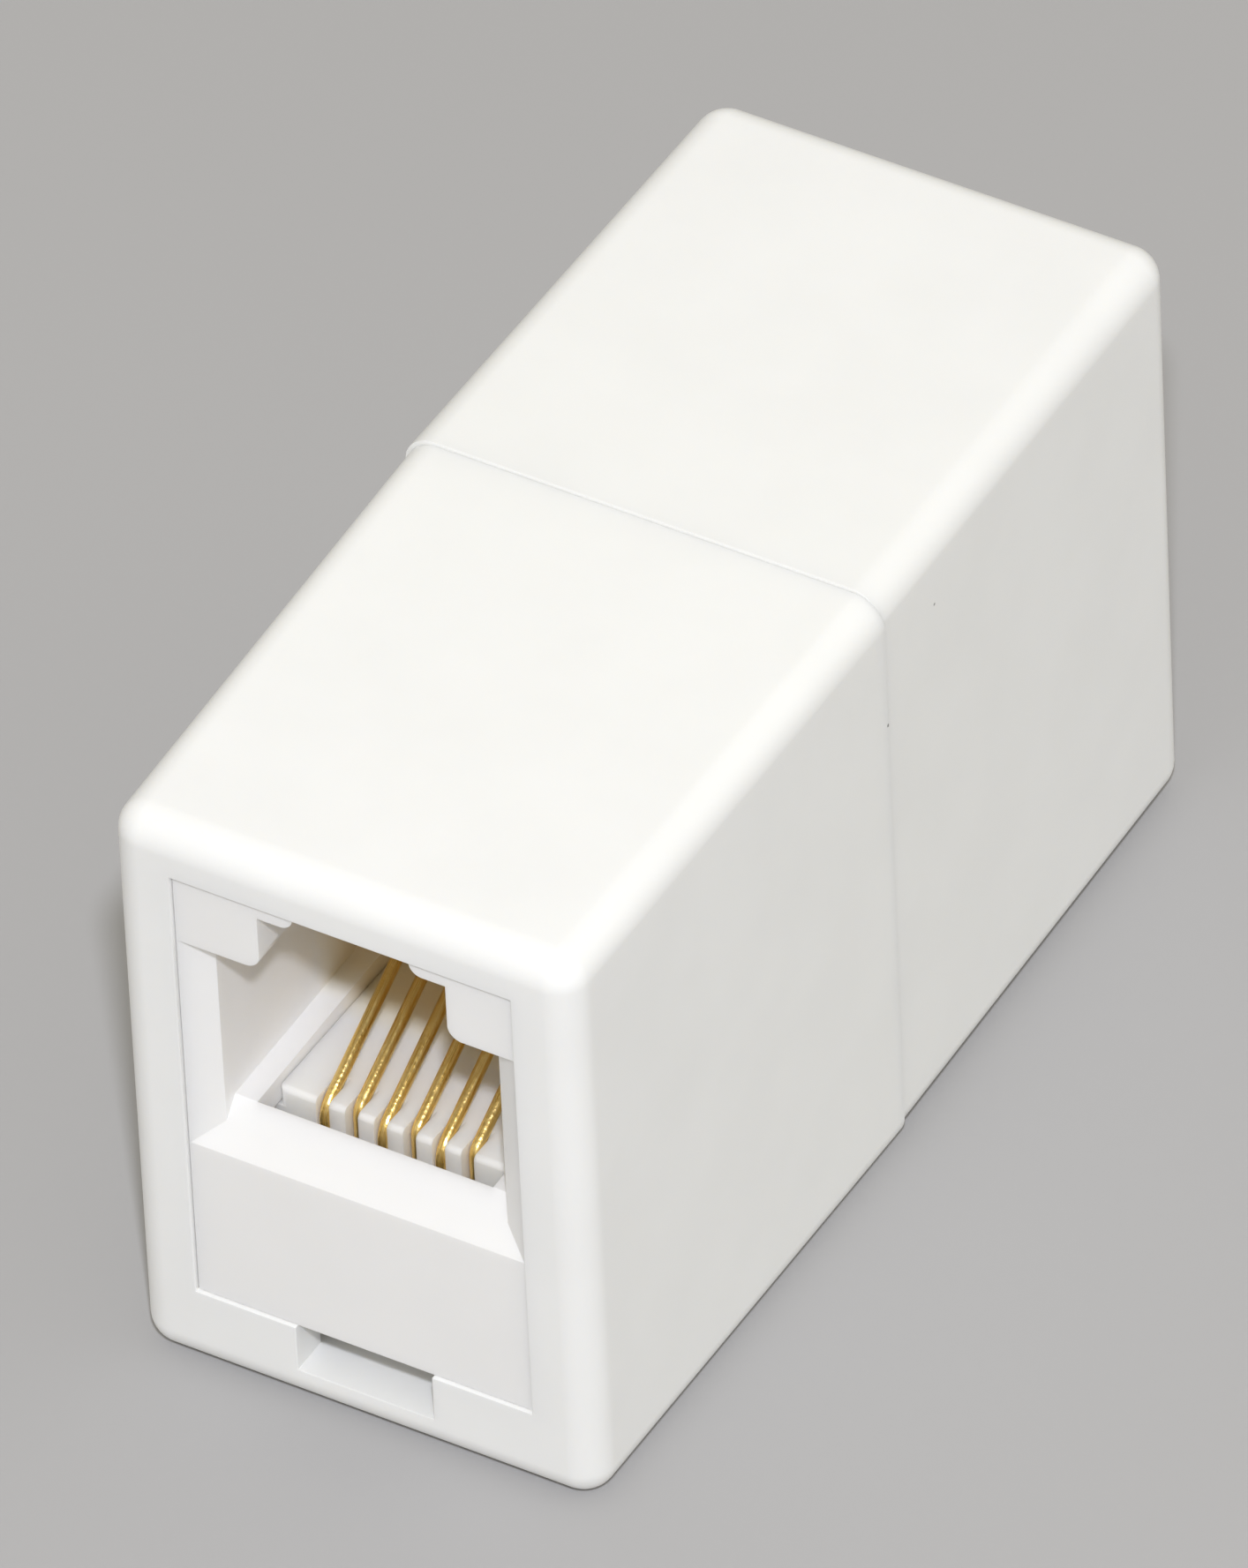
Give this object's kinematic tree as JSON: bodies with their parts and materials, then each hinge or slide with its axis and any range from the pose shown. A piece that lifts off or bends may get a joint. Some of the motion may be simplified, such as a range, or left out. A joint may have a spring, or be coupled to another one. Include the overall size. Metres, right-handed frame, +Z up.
{
  "type": "modular telephone inline coupler",
  "caption": "White inline coupler for telephone cords: a two-part moulded case with a latched modular socket at each end and round gold spring wires running straight through.",
  "frame": {"origin": "under the middle of the coupler, on the surface that it lies on", "axes": "+Z up, -Y out of the front socket, +Y out of the rear socket, +X across the sockets"},
  "size_m": [0.0168, 0.0374, 0.0225],
  "materials": {
    "case": "smooth moulded ABS, soft gloss",
    "jack": "smooth moulded ABS, soft gloss",
    "contact_block": "natural, slightly translucent moulded polycarbonate",
    "contact_wire": "gold-plated drawn wire"
  },
  "bodies": {
    "root": {"front_shell": "case", "rear_shell": "case", "front_jack": "jack", "rear_jack": "jack", "front_contact_block": "contact_block", "rear_contact_block": "contact_block", "contact_wire_1": "contact_wire", "contact_wire_2": "contact_wire", "contact_wire_3": "contact_wire", "contact_wire_4": "contact_wire", "contact_wire_5": "contact_wire", "contact_wire_6": "contact_wire"}
  },
  "joints": []
}
